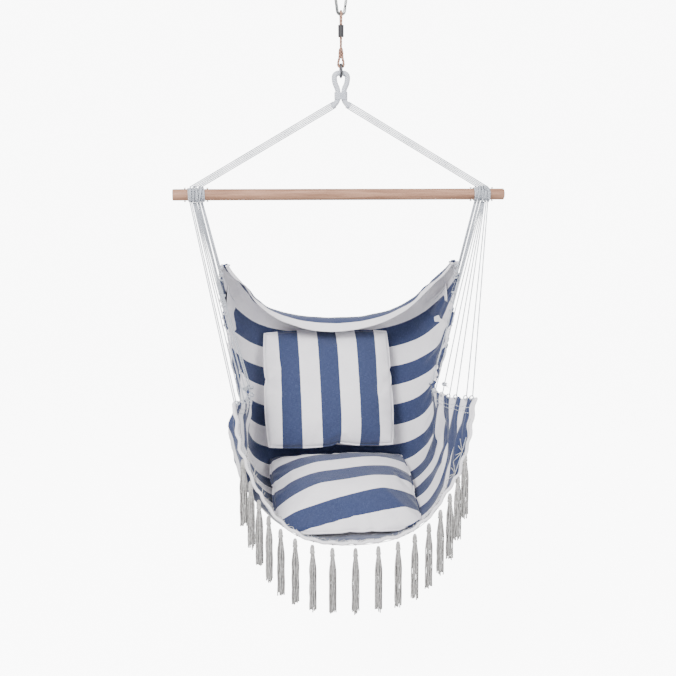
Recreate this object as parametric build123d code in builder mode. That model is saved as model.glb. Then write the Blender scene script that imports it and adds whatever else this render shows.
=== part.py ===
from build123d import *
import os
from math import atan2, cos, radians, sin, tan

os.makedirs("parts", exist_ok=True)

# A hanging rope hammock chair, in millimetres. The origin is the inner top crown of the
# carabiner, where the chair hangs. +Z is up, the sitter faces -Y, +X is the sitter's left.
# Names with left or right are as seen from the front: left is -X.

# ---------------------------------------------------------------- driving dimensions
BAR_Z = -610.0            # axis of the wooden spreader bar
BAR_LENGTH = 1000.0
BAR_RADIUS = 17.0
HITCH_X = 430.0           # centre of each cord hitch on the bar
SEAT_SHIFT_Y = -26.5      # puts the seat's centre of mass under the bar

WIRE_RADIUS = 4.5         # carabiner wire
CROWN_TOP_RADIUS = 19.0
CROWN_LOW_RADIUS = 11.0
CROWN_LOW_Z = -75.5       # centre of the narrow lower crown
LOW_WIRE_Z = CROWN_LOW_Z - CROWN_LOW_RADIUS

ROPE_RADIUS = 4.0         # strop rope
SLEEVE_TOP = -117.0
SLEEVE_LENGTH = 34.0
SPLICE_TOP = -186.0
SPLICE_LENGTH = 24.0

RING_WIRE = 3.5           # closed oval link
RING_RADIUS = 14.5
RING_TOP_Z = -229.5
RING_LOW_Z = -266.5

LOOP_RADIUS = 8.25        # served hanging loop
LOOP_TOP_Z = -254.35
WHIPPING_TOP = -308.0
WHIPPING_LENGTH = 25.0

CORD_RADIUS = 2.0         # white cotton cord
UPPER_CORDS = 5           # on each side, loop to bar
SEAT_CORDS = 9            # on each side, bar to cloth
HITCH_TURNS = 11

CLOTH_THICKNESS = 3.0
SEAT_SLOPE = 14.0         # the seat cushion runs down to the front
BACK_RECLINE = 27.0
BACK_CUSHION_X = -24.0     # the back cushion lies a little to one side
TASSELS = 17
TASSEL_LENGTH = 200.0

# ---------------------------------------------------------------- helpers


def save(piece, name):
    """Label a finished piece and write its STEP file."""
    piece.part.label = name
    export_step(piece.part, "parts/" + name + ".step")


def arc_radii(points):
    """One arc radius for each inner corner of a cord's route."""
    radii = []
    for before, corner, after in zip(points, points[1:], points[2:]):
        run_in = Vector(*corner) - Vector(*before)
        run_out = Vector(*after) - Vector(*corner)
        half_turn = radians(run_in.get_angle(run_out)) / 2
        radii.append(0.45 * min(run_in.length, run_out.length) / tan(half_turn))
    return radii


def mirrored(points):
    """A route's half and its mirror image across X = 0, joined end to end."""
    return list(points) + [(-x, y, z) for x, y, z in reversed(points)]


# ---------------------------------------------------------------- carabiner
# The right leg is the tangent line of the two crowns; "along" counts down it from the top.
crown_gap = -CROWN_LOW_Z - (CROWN_TOP_RADIUS - WIRE_RADIUS)
lean = (CROWN_TOP_RADIUS - CROWN_LOW_RADIUS) / crown_gap
leg_normal = Vector((1 - lean**2) ** 0.5, 0, -lean)
leg_down = Vector(-lean, 0, -((1 - lean**2) ** 0.5))
crown_top = Vector(0, 0, WIRE_RADIUS - CROWN_TOP_RADIUS)
crown_low = Vector(0, 0, CROWN_LOW_Z)
leg_start = crown_top + leg_normal * CROWN_TOP_RADIUS
leg_end = crown_low + leg_normal * CROWN_LOW_RADIUS
NOSE_END = 8.0            # end of the wire above the gate, along the leg
HINGE_END = 52.0          # end of the wire below the gate
PIN_ALONG = 46.0
TONGUE = 3.2              # thickness of the flat tongues in the gate's forks
GATE_RADIUS = 4.2
PIN_RADIUS = 1.45
pin_centre = leg_start + leg_down * PIN_ALONG


def leg_plane(along):
    """A plane across the gate leg, with X across the hook's thickness and Z down the leg."""
    return Plane(origin=leg_start + leg_down * along, x_dir=(0, 1, 0), z_dir=leg_down)


def left_of(point):
    return Vector(-point.X, point.Y, point.Z)


pin_plane = Plane(origin=pin_centre, x_dir=(1, 0, 0), z_dir=(0, -1, 0))

with BuildPart() as carabiner_body:
    with BuildLine() as hook_path:
        Line(leg_start + leg_down * HINGE_END, leg_end)
        ThreePointArc(leg_end, (0, 0, LOW_WIRE_Z), left_of(leg_end))
        Line(left_of(leg_end), left_of(leg_start))
        ThreePointArc(left_of(leg_start), (0, 0, WIRE_RADIUS), leg_start)
        Line(leg_start, leg_start + leg_down * NOSE_END)
    with BuildSketch(Plane(hook_path.line @ 0, z_dir=hook_path.line % 0)):
        Circle(WIRE_RADIUS)
    sweep()
    with BuildSketch(leg_plane(NOSE_END - 1)):
        Rectangle(TONGUE, 5)
    extrude(amount=8)
    with BuildSketch(leg_plane(PIN_ALONG)):
        Rectangle(TONGUE, 7)
    extrude(amount=HINGE_END - PIN_ALONG + 1)
    with BuildSketch(pin_plane):
        Circle(3.5)
    extrude(amount=TONGUE / 2, both=True)
    with BuildSketch(pin_plane):
        Circle(PIN_RADIUS + 0.05)
    extrude(amount=WIRE_RADIUS, both=True, mode=Mode.SUBTRACT)
save(carabiner_body, "carabiner_body")

with BuildPart() as carabiner_gate:
    with BuildSketch(leg_plane(NOSE_END + 1)):
        Circle(GATE_RADIUS)
    extrude(amount=PIN_ALONG - NOSE_END - 1)
    with Locations(pin_centre):
        Sphere(GATE_RADIUS)
    with BuildSketch(leg_plane(NOSE_END)):
        Rectangle(TONGUE + 0.6, 3 * GATE_RADIUS)
    extrude(amount=9, mode=Mode.SUBTRACT)
    with BuildSketch(leg_plane(PIN_ALONG - 4.5)):
        Rectangle(TONGUE + 0.6, 3 * GATE_RADIUS)
    extrude(amount=10, mode=Mode.SUBTRACT)
    with BuildSketch(leg_plane(22)):
        Circle(2.3)
    extrude(amount=22, mode=Mode.SUBTRACT)
    with BuildSketch(pin_plane):
        Circle(PIN_RADIUS + 0.05)
    extrude(amount=WIRE_RADIUS, both=True, mode=Mode.SUBTRACT)
save(carabiner_gate, "carabiner_gate")

with BuildPart() as gate_pin:
    with BuildSketch(pin_plane):
        Circle(PIN_RADIUS)
    extrude(amount=GATE_RADIUS + 0.2, both=True)
save(gate_pin, "gate_pin")

with BuildPart() as gate_spring:
    spring_plane = leg_plane(23)
    with BuildLine():
        coil = Helix(pitch=2.2, height=17.6, radius=1.7, center=spring_plane.origin, direction=leg_down)
    with BuildSketch(Plane(coil @ 0, z_dir=coil % 0)):
        Circle(0.3)
    sweep(is_frenet=True)
save(gate_spring, "gate_spring")

# ---------------------------------------------------------------- rope strop
SLEEVE_STRAND_Y = 4.3
EYE_RADIUS = WIRE_RADIUS + ROPE_RADIUS + 0.5
eye_top = LOW_WIRE_Z + EYE_RADIUS
sleeve_low = SLEEVE_TOP - SLEEVE_LENGTH

with BuildPart() as strop_eye:
    eye_half = [
        (0, -SLEEVE_STRAND_Y, sleeve_low + 1),
        (0, -SLEEVE_STRAND_Y, -112),
        (0, -EYE_RADIUS, -97),
        (0, -EYE_RADIUS, eye_top),
    ]
    eye_route = eye_half + [(x, -y, z) for x, y, z in reversed(eye_half)]
    round_wire = EYE_RADIUS - 0.05
    with BuildLine() as eye_path:
        FilletPolyline(*eye_route, radius=[12, 10, round_wire, round_wire, 10, 12])
    with BuildSketch(Plane(eye_path.line @ 0, z_dir=eye_path.line % 0)):
        Circle(ROPE_RADIUS)
    sweep()
save(strop_eye, "strop_eye")

with BuildPart() as strop_sleeve:
    with BuildSketch(Plane.XY.offset(sleeve_low)):
        Ellipse(8.5, 10.5)
        with Locations((0, SLEEVE_STRAND_Y), (0, -SLEEVE_STRAND_Y)):
            Circle(ROPE_RADIUS + 0.03, mode=Mode.SUBTRACT)
    extrude(amount=SLEEVE_LENGTH)
save(strop_sleeve, "strop_sleeve")

LOW_EYE_RADIUS = RING_WIRE + ROPE_RADIUS + 0.5
SPIN_Z = sleeve_low - 0.4
SPLICE_STRAND_X = ROPE_RADIUS + 0.1
low_half = [
    (-SPLICE_STRAND_X, 0, SPLICE_TOP - 6),
    (-SPLICE_STRAND_X, 0, -211),
    (-LOW_EYE_RADIUS, 0, -223),
    (-LOW_EYE_RADIUS, 0, RING_TOP_Z - LOW_EYE_RADIUS),
]
with BuildPart() as strop_rope:
    round_link = LOW_EYE_RADIUS - 0.05
    with BuildLine() as low_path:
        FilletPolyline(*mirrored(low_half), radius=[10, 8, round_link, round_link, 8, 10])
    with BuildSketch(Plane(low_path.line @ 0, z_dir=low_path.line % 0)):
        Circle(ROPE_RADIUS)
    sweep()
    with BuildSketch(Plane.XY.offset(SPLICE_TOP - SPLICE_LENGTH)):
        Ellipse(8.4, 6.5)
    extrude(amount=SPLICE_LENGTH)
    with BuildSketch(Plane.XY.offset(SPLICE_TOP - 4)):
        Circle(ROPE_RADIUS)
    extrude(amount=SPIN_Z - 0.4 - SPLICE_TOP + 4)
save(strop_rope, "strop_rope")

# ---------------------------------------------------------------- oval link and served loop
with BuildPart() as link_ring:
    with BuildLine(Plane.YZ) as ring_path:
        top = RING_TOP_Z - RING_RADIUS
        low = RING_LOW_Z + RING_RADIUS
        CenterArc((0, top), RING_RADIUS, 0, 180)
        Line((-RING_RADIUS, top), (-RING_RADIUS, low))
        CenterArc((0, low), RING_RADIUS, 180, 180)
        Line((RING_RADIUS, low), (RING_RADIUS, top))
    with BuildSketch(Plane(ring_path.line @ 0, z_dir=ring_path.line % 0)):
        Circle(RING_WIRE)
    sweep()
save(link_ring, "link_ring")

NECK_X = 8.3
LOOP_HALF_WIDTH = 19.5
BUNDLE_START = (29.0, 0.0, -352.0)
with BuildPart() as hanging_loop:
    loop_half = [
        (27, 0, -351),
        (NECK_X, 0, -341),
        (NECK_X, 0, -303),
        (LOOP_HALF_WIDTH, 0, -282),
        (LOOP_HALF_WIDTH, 0, LOOP_TOP_Z),
    ]
    loop_top_arc = LOOP_HALF_WIDTH - 0.05
    with BuildLine() as loop_path:
        FilletPolyline(*mirrored(loop_half), radius=[12, 14, 14, loop_top_arc, loop_top_arc, 14, 14, 12])
    with BuildSketch(Plane(loop_path.line @ 0, z_dir=loop_path.line % 0)):
        Circle(LOOP_RADIUS)
    sweep()
save(hanging_loop, "hanging_loop")

with BuildPart() as loop_whipping:
    with BuildSketch(Plane.XY.offset(WHIPPING_TOP - WHIPPING_LENGTH)):
        SlotCenterToCenter(2 * NECK_X, 2 * (LOOP_RADIUS + 1.5))
        SlotCenterToCenter(2 * NECK_X, 2 * (LOOP_RADIUS + 0.03), mode=Mode.SUBTRACT)
    extrude(amount=WHIPPING_LENGTH)
save(loop_whipping, "loop_whipping")

# ---------------------------------------------------------------- spreader bar and hitches
HITCH_PITCH = 2 * CORD_RADIUS + 0.5
PIN_OFFSET = 33.0         # stop nails stand this far to each side of a hitch's centre
bar_plane = Plane(origin=(-BAR_LENGTH / 2, 0, BAR_Z), x_dir=(0, 1, 0), z_dir=(1, 0, 0))
nail_planes = [
    Plane(origin=(side * HITCH_X + offset, 0, BAR_Z), x_dir=(1, 0, 0), z_dir=(0, 0, up))
    for side in (-1, 1)
    for offset in (-PIN_OFFSET, PIN_OFFSET)
    for up in (-1, 1)
]

with BuildPart() as spreader_bar:
    with BuildSketch(bar_plane):
        Circle(BAR_RADIUS)
    extrude(amount=BAR_LENGTH)
    fillet(spreader_bar.edges(), radius=4)
    for nail_plane in nail_planes:
        with BuildSketch(nail_plane.offset(6)):
            Circle(1.6)
        extrude(amount=BAR_RADIUS, mode=Mode.SUBTRACT)
save(spreader_bar, "spreader_bar")

with BuildPart() as stop_pins:
    for nail_plane in nail_planes:
        with BuildSketch(nail_plane.offset(6.2)):
            Circle(1.57)
        extrude(amount=BAR_RADIUS - 3)
        with BuildSketch(nail_plane.offset(BAR_RADIUS + 2)):
            Circle(3.4)
        extrude(amount=1.8)
save(stop_pins, "stop_pins")

for side, name in ((-1, "bar_hitch_left"), (1, "bar_hitch_right")):
    with BuildPart() as bar_hitch:
        for turn in range(HITCH_TURNS):
            x = side * HITCH_X + (turn - (HITCH_TURNS - 1) / 2) * HITCH_PITCH
            with Locations((x, 0, BAR_Z)):
                Torus(BAR_RADIUS + CORD_RADIUS + 0.1, CORD_RADIUS, rotation=(0, 90, 0))
    save(bar_hitch, name)

# The cords from the loop lie flat above one another and spread a little on the bar.
BAR_TOP_Z = BAR_Z + BAR_RADIUS + 2 * CORD_RADIUS + 2.5
UPPER_SPACING = 4.4
run_x = HITCH_X - BUNDLE_START[0]
run_z = BAR_TOP_Z - BUNDLE_START[2]
bundle_angle = atan2(run_z, run_x)


def upper_cord_ends(side, index):
    """Both ends of one of the taut cords between the loop and the bar."""
    step = index - (UPPER_CORDS - 1) / 2
    start = Vector(*BUNDLE_START) + Vector(-sin(bundle_angle), 0, cos(bundle_angle)) * UPPER_SPACING * step
    end = Vector(HITCH_X + step * 8.4, 0, BAR_TOP_Z)
    return Vector(side * start.X, start.Y, start.Z), Vector(side * end.X, end.Y, end.Z)


def straight_cord(start, end):
    """The profile plane and length of one taut cord."""
    return Plane(origin=start, z_dir=end - start), (end - start).length


for side, name in ((-1, "upper_cords_left"), (1, "upper_cords_right")):
    with BuildPart() as upper_cords:
        for index in range(UPPER_CORDS):
            cord_plane, cord_length = straight_cord(*upper_cord_ends(side, index))
            with BuildSketch(cord_plane):
                Circle(CORD_RADIUS)
            extrude(amount=cord_length)
    save(upper_cords, name)

# ---------------------------------------------------------------- hammock cloth
# Each row gives v, then four points of one half of the cloth's cross-section, as (x, y, z)
# from the bar's axis: the middle, two shoulders that draw the curve, and the side edge.
# v runs down the back, over the seat and out to the front lip.
CLOTH_STATIONS = [
    (-0.10, (0, 168, -414), (170, 168, -416), (300, 100, -315), (352, 25, -212)),
    (-0.05, (0, 215, -400), (200, 214, -400), (290, 120, -322), (354, 28, -210)),
    (0.00, (0, 268, -420), (258, 286, -422), (296, 155, -335), (356, 30, -216)),
    (0.18, (0, 256, -540), (298, 292, -548), (326, 130, -480), (348, 48, -320)),
    (0.36, (0, 200, -670), (310, 212, -690), (304, 95, -610), (325, 38, -440)),
    (0.50, (0, 176, -795), (320, 186, -830), (288, 65, -740), (275, 5, -565)),
    (0.58, (0, 142, -892), (338, 146, -926), (278, 8, -780), (272, -45, -588)),
    (0.70, (0, -25, -936), (338, -35, -962), (268, -70, -800), (292, -125, -590)),
    (0.85, (0, -180, -966), (330, -190, -1010), (268, -190, -800), (318, -215, -578)),
    (1.00, (0, -310, -965), (230, -305, -968), (265, -300, -850), (331, -300, -563)),
]


def between(stations, v, column):
    """A smooth curve through one column of the stations, by cubic Hermite spans."""
    last = len(stations) - 1
    i = 0
    while i < last - 1 and v > stations[i + 1][0]:
        i += 1
    v0, v1 = stations[i][0], stations[i + 1][0]
    t = (v - v0) / (v1 - v0)
    value = []
    for axis in range(3):
        p = [stations[k][column][axis] for k in (max(i - 1, 0), i, i + 1, min(i + 2, last))]
        w = [stations[k][0] for k in (max(i - 1, 0), i, i + 1, min(i + 2, last))]
        m0 = (p[2] - p[0]) / (w[2] - w[0]) * (v1 - v0)
        m1 = (p[3] - p[1]) / (w[3] - w[1]) * (v1 - v0)
        a = (2 * t**3 - 3 * t**2 + 1) * p[1] + (t**3 - 2 * t**2 + t) * m0
        value.append(a + (3 * t**2 - 2 * t**3) * p[2] + (t**3 - t**2) * m1)
    return value


def cloth_point(u, v):
    """The cloth's inner face; u runs from the -X edge at -1 to the +X edge at +1."""
    t = abs(u)
    side = -1 if u < 0 else 1
    weights = ((1 - t) ** 3, 3 * t * (1 - t) ** 2, 3 * t**2 * (1 - t), t**3)
    x, y, z = 0.0, 0.0, 0.0
    for column, weight in enumerate(weights, start=1):
        px, py, pz = between(CLOTH_STATIONS, v, column)
        x += weight * px
        y += weight * py
        z += weight * pz
    return Vector(side * x, y + SEAT_SHIFT_Y, z + BAR_Z)


def cloth_normal(u, v):
    """Unit normal of the cloth, pointing away from the sitter."""
    step = 0.01
    along_u = cloth_point(min(u + step, 1), v) - cloth_point(max(u - step, -1), v)
    along_v = cloth_point(u, min(v + step, 1)) - cloth_point(u, max(v - step, -0.1))
    return along_v.cross(along_u).normalized() * -1


def cloth_grid(u_values, v_values, lift):
    """Points of the cloth's surface, moved out along its normal by lift."""
    return [[cloth_point(u, v) + cloth_normal(u, v) * lift for v in v_values] for u in u_values]


def steps(first, last, count):
    return [first + (last - first) * i / (count - 1) for i in range(count)]


def sheet_solid(u_values, v_values, lift, thickness):
    """A closed sheet between the cloth's surface moved out by lift and by lift + thickness."""
    inner = Face.make_surface_from_array_of_points(cloth_grid(u_values, v_values, lift))
    outer = Face.make_surface_from_array_of_points(cloth_grid(u_values, v_values, lift + thickness))
    rims = [Face.make_surface_from_curves(a, b) for a, b in zip(inner.edges(), outer.edges())]
    return Solid(Shell([inner, outer] + rims))


with BuildPart() as hammock_cloth:
    add(sheet_solid(steps(-1, 1, 33), steps(-0.1, 1, 27), 0, CLOTH_THICKNESS))
save(hammock_cloth, "hammock_cloth")

with BuildPart() as back_pocket:
    add(sheet_solid(steps(-0.86, 0.86, 21), steps(0.02, 0.36, 9), 14, 2))
save(back_pocket, "back_pocket")

# ---------------------------------------------------------------- suspension cords
# The first four cords of each side hold the back's edge, one holds the waist where the back
# meets the arm, and the last four hold the arm's top edge.
CORD_ENDS_V = (0.0, 0.07, 0.15, 0.24, 0.52, 0.66, 0.79, 0.90, 0.985)
KNOT_CORD = 5             # this one carries a knot just above the arm
KNOT_RADIUS = 6.0
BAR_CLEARANCE = 23.5
EDGE_CLEARANCE = 6.0


def seat_cord_ends(side, index):
    """Both ends of one taut cord between the bar's hitch and the cloth's side edge."""
    spread = (SEAT_CORDS - 1) / 2 - index
    start = Vector(side * (HITCH_X - spread * 4.6), spread * 2.2, BAR_Z - BAR_CLEARANCE)
    edge = cloth_point(side, CORD_ENDS_V[index]) + Vector(side * EDGE_CLEARANCE, 0, 0)
    pull = (start - edge).normalized()
    return start, edge + pull * 4.5


for side, side_name in ((-1, "left"), (1, "right")):
    for index in range(SEAT_CORDS):
        cord_plane, cord_length = straight_cord(*seat_cord_ends(side, index))
        with BuildPart() as seat_cord:
            with BuildSketch(cord_plane):
                Circle(CORD_RADIUS)
            extrude(amount=cord_length)
        save(seat_cord, "seat_cord_" + side_name + "_" + str(index + 1))

for side, name in ((-1, "arm_knot_left"), (1, "arm_knot_right")):
    with BuildPart() as arm_knot:
        start, end = seat_cord_ends(side, KNOT_CORD)
        pull = (start - end).normalized()
        with BuildSketch(Plane(origin=end + pull * 26, x_dir=pull, z_dir=pull.cross(Vector(0, 0, 1)))):
            with Locations((0, CORD_RADIUS + 0.1 + KNOT_RADIUS / 2)):
                Circle(KNOT_RADIUS / 2)
        revolve(axis=Axis(end, pull))
    save(arm_knot, name)

# ---------------------------------------------------------------- fringe along the lip
FRINGE_DROP = 13.0        # the netting cord hangs this far below the hem
FRINGE_CORD_RADIUS = 1.1


def fringe_point(u, drop=FRINGE_DROP):
    """A point outside the front edge and square to it, on the netting cord as a rule."""
    step = 0.01
    along = cloth_point(u + step, 1) - cloth_point(u - step, 1)
    out = Vector(along.Z, 0, -along.X).normalized()
    return cloth_point(u, 1) + out * drop


fringe_route = [tuple(fringe_point(u)) for u in steps(-0.86, 0.86, 30)]
fringe_radii = arc_radii(fringe_route)
print("fringe cord radii", [round(radius) for radius in fringe_radii])
with BuildPart() as fringe_cord:
    with BuildLine() as fringe_path:
        FilletPolyline(*fringe_route, radius=fringe_radii)
    with BuildSketch(Plane(fringe_path.line @ 0, z_dir=fringe_path.line % 0)):
        Circle(FRINGE_CORD_RADIUS)
    sweep()
save(fringe_cord, "fringe_cord")

TASSEL_U = steps(-0.8, 0.8, TASSELS)


def tassel_radius(index):
    """Tassels on the steep sides are slimmer, so that they hang clear of each other."""
    near = TASSEL_U[index + 1] if index < TASSELS // 2 else TASSEL_U[index - 1]
    gap = abs(fringe_point(TASSEL_U[index]).X - fringe_point(near).X)
    return min(14.0, 0.42 * gap)


def tassel_top(index):
    return fringe_point(TASSEL_U[index], FRINGE_DROP + FRINGE_CORD_RADIUS + 1 + 0.5 * tassel_radius(index))


for index in range(TASSELS):
    wide = tassel_radius(index)
    with BuildPart() as tassel:
        with BuildSketch(Plane(origin=tassel_top(index), x_dir=(1, 0, 0), z_dir=(0, -1, 0))):
            with BuildLine():
                Polyline(
                    (0, 0),
                    (0.3 * wide, 0),
                    (0.45 * wide, -14),
                    (0.4 * wide, -24),
                    (wide, -0.5 * TASSEL_LENGTH),
                    (wide, -TASSEL_LENGTH),
                    (0, -TASSEL_LENGTH),
                    close=True,
                )
            make_face()
        revolve(axis=Axis(tassel_top(index), (0, 0, 1)))
    save(tassel, "tassel_" + str(index + 1).zfill(2))

# ---------------------------------------------------------------- cushions
COVER = 1.5               # cover cloth
SEAM_ROUND = 42.0


def save_cushion(name, plane, width, length, thick):
    """A puffed box cushion: its hollow cover and the filling inside it."""
    with BuildPart() as filling:
        with BuildSketch(plane.offset(-thick / 2 + COVER)):
            RectangleRounded(width - 2 * COVER, length - 2 * COVER, 46)
        extrude(amount=thick - 2 * COVER)
        fillet(filling.faces().filter_by(plane).edges(), radius=SEAM_ROUND - COVER)
    with BuildPart() as cover:
        with BuildSketch(plane.offset(-thick / 2)):
            RectangleRounded(width, length, 46 + COVER)
        extrude(amount=thick)
        fillet(cover.faces().filter_by(plane).edges(), radius=SEAM_ROUND)
        add(filling.part, mode=Mode.SUBTRACT)
    save(filling, name + "_filling")
    save(cover, name + "_cover")


seat_plane = Plane(
    origin=(0, -55 + SEAT_SHIFT_Y, -868 + BAR_Z),
    x_dir=(1, 0, 0),
    z_dir=(0, -sin(radians(SEAT_SLOPE)), cos(radians(SEAT_SLOPE))),
)
back_plane = Plane(
    origin=(BACK_CUSHION_X, 140 + SEAT_SHIFT_Y, -607 + BAR_Z),
    x_dir=(1, 0, 0),
    z_dir=(0, -cos(radians(BACK_RECLINE)), sin(radians(BACK_RECLINE))),
)
save_cushion("seat_cushion", seat_plane, 426, 400, 90)
save_cushion("back_cushion", back_plane, 410, 380, 88)
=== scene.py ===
import math
import random

import bpy
from mathutils import Matrix, Vector, noise
from mathutils.kdtree import KDTree


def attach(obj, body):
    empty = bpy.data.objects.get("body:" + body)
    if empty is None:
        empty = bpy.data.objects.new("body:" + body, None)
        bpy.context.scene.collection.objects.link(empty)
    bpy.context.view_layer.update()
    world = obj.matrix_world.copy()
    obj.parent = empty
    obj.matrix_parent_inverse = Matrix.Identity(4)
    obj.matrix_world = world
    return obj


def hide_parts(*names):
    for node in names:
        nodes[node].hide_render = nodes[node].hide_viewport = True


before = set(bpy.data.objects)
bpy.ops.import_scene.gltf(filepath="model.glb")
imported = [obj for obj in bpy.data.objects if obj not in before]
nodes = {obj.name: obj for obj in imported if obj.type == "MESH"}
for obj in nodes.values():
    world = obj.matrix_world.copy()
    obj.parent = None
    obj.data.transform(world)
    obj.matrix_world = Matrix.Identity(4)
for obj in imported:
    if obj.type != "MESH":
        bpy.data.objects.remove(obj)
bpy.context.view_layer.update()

# A rope hammock chair, in metres, in the CAD frame: origin at the carabiner's inner top
# crown, +Z up, the sitter faces -Y.
BAR_Z = -0.610
BAR_RADIUS = 0.017
HITCH_X = 0.430
SEAT_SHIFT_Y = -0.0265
CORD_RADIUS = 0.002
ROPE_RADIUS = 0.004
UPPER_CORDS = 5
SEAT_CORDS = 9
HITCH_TURNS = 11
TASSELS = 17
CLOTH_STRIPE = 0.0609     # width of one stripe of the hammock cloth
STRIPE = 0.0597           # and of the cushions
SIDES = (("left", -1), ("right", 1))

# ---- camera
CAMERA_DISTANCE = 3.5
CAMERA_AZIMUTH = math.radians(-7.18)
CAMERA_HEIGHT = -0.535
CAMERA_PITCH = math.radians(8.28)
CAMERA_PAN = math.radians(0.14)
FOCAL_IN_FRAMES = 1.7167  # focal length over the picture's width


def add_camera():
    data = bpy.data.cameras.new("camera")
    data.sensor_width = 36.0
    data.lens = FOCAL_IN_FRAMES * data.sensor_width
    data.clip_end = 60.0
    camera = bpy.data.objects.new("camera", data)
    bpy.context.collection.objects.link(camera)
    camera.location = (
        math.sin(CAMERA_AZIMUTH) * CAMERA_DISTANCE,
        -math.cos(CAMERA_AZIMUTH) * CAMERA_DISTANCE,
        CAMERA_HEIGHT,
    )
    camera.rotation_euler = (math.pi / 2 - CAMERA_PITCH, 0, CAMERA_AZIMUTH + CAMERA_PAN)
    bpy.context.scene.camera = camera


add_camera()

# ---- materials


class Shader:
    """A small helper that builds one node material."""

    def __init__(self, name):
        self.material = bpy.data.materials.new(name)
        self.material.use_nodes = True
        self.tree = self.material.node_tree
        self.bsdf = self.tree.nodes["Principled BSDF"]

    def feed(self, socket, value):
        """Links an output to the socket, or sets a number or a colour on the socket itself."""
        if isinstance(value, bpy.types.NodeSocket):
            self.tree.links.new(value, socket)
        elif socket.type == "RGBA":
            socket.default_value = (*value, 1.0)
        else:
            socket.default_value = value

    def node(self, kind, inputs, **settings):
        made = self.tree.nodes.new(kind)
        for key, value in settings.items():
            setattr(made, key, value)
        for key, value in inputs.items():
            self.feed(made.inputs[key], value)
        return made

    def coordinates(self, scale=(1, 1, 1), kind="Object"):
        """Object or UV coordinates, stretched by scale."""
        source = self.node("ShaderNodeTexCoord", {}).outputs[kind]
        return self.node("ShaderNodeMapping", {"Vector": source, "Scale": scale}).outputs["Vector"]

    def noise(self, vector, scale, detail=3.0, roughness=0.55):
        inputs = {"Vector": vector, "Scale": scale, "Detail": detail, "Roughness": roughness}
        return self.node("ShaderNodeTexNoise", inputs).outputs["Fac"]

    def wave(self, vector, scale, axis="X", distortion=0.0):
        inputs = {"Vector": vector, "Scale": scale, "Distortion": distortion}
        return self.node("ShaderNodeTexWave", inputs, bands_direction=axis).outputs["Fac"]

    def math(self, operation, *values):
        return self.node("ShaderNodeMath", dict(enumerate(values)), operation=operation).outputs[0]

    def mix(self, factor, a, b, blend="MIX"):
        inputs = {0: factor, 6: a, 7: b}
        return self.node("ShaderNodeMix", inputs, data_type="RGBA", blend_type=blend).outputs[2]

    def ramp(self, value, low, high):
        """Smoothly from 0 at low to 1 at high."""
        inputs = {"Value": value, "From Min": low, "From Max": high}
        made = self.node("ShaderNodeMapRange", inputs, interpolation_type="SMOOTHSTEP")
        return made.outputs["Result"]

    def bump(self, height, strength, distance):
        """Adds to the bumps made before."""
        inputs = {"Height": height, "Strength": strength, "Distance": distance}
        normal = self.bsdf.inputs["Normal"]
        if normal.is_linked:
            inputs["Normal"] = normal.links[0].from_socket
        self.feed(normal, self.node("ShaderNodeBump", inputs).outputs["Normal"])

    def colour(self, value):
        self.feed(self.bsdf.inputs["Base Color"], value)

    def finish(self, roughness, metallic=0.0, sheen=0.0):
        values = {"Roughness": roughness, "Metallic": metallic, "Sheen Weight": sheen,
                  "Sheen Roughness": 0.5}
        for key, value in values.items():
            self.feed(self.bsdf.inputs[key], value)
        return self.material


BLUE = (0.017, 0.029, 0.088)
BLUE_PALE = (0.045, 0.062, 0.146)
OFF_WHITE = (0.88, 0.86, 0.885)
OFF_WHITE_DIM = (0.80, 0.775, 0.81)
STRIPE_BLUR = 0.006         # of a stripe's edge, as a share of two stripes


def woven_cotton(name, stripe=0.0, hem=0.0):
    """Plain-weave cotton. Its UV map holds metres: U across, V along, from the edge at V 0."""
    s = Shader(name)
    uv = s.coordinates(kind="UV")
    along = s.node("ShaderNodeSeparateXYZ", {0: uv}).outputs[1]
    weft = s.noise(s.coordinates((90, 1400, 1), "UV"), 1.0, 2.0)
    warp = s.noise(s.coordinates((1400, 90, 1), "UV"), 1.0, 2.0)
    broad = s.noise(s.coordinates((1, 1, 1), "UV"), 14.0, 3.0)
    thread = s.math("ADD", s.math("MULTIPLY", weft, 0.5), s.math("MULTIPLY", warp, 0.5))
    white = s.mix(s.ramp(thread, 0.40, 0.62), OFF_WHITE_DIM, OFF_WHITE)
    if stripe:
        blue = s.mix(s.ramp(thread, 0.46, 0.66), BLUE, BLUE_PALE)
        wander = s.math("MULTIPLY", s.math("SUBTRACT", weft, 0.5), 0.0016)
        place = s.math("ADD", s.math("SUBTRACT", along, hem), wander)
        phase = s.math("FRACT", s.math("DIVIDE", place, 2 * stripe))
        cloth = s.mix(s.ramp(phase, 0.5 - STRIPE_BLUR, 0.5 + STRIPE_BLUR), blue, white)
    else:
        cloth = white
    shade = s.ramp(broad, 0.25, 0.75)
    s.colour(s.mix(s.math("MULTIPLY", shade, 0.5), cloth, (0.84, 0.84, 0.87), "MULTIPLY"))
    ridges = s.math("MAXIMUM", s.wave(uv, 420.0, "X"), s.wave(uv, 420.0, "Y"))
    s.bump(ridges, 0.25, 0.0004)
    s.bump(thread, 0.35, 0.0009)
    s.bump(s.noise(uv, 38.0, 4.0, 0.6), 0.35, 0.004)
    return s.finish(0.92, sheen=0.25)


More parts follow.
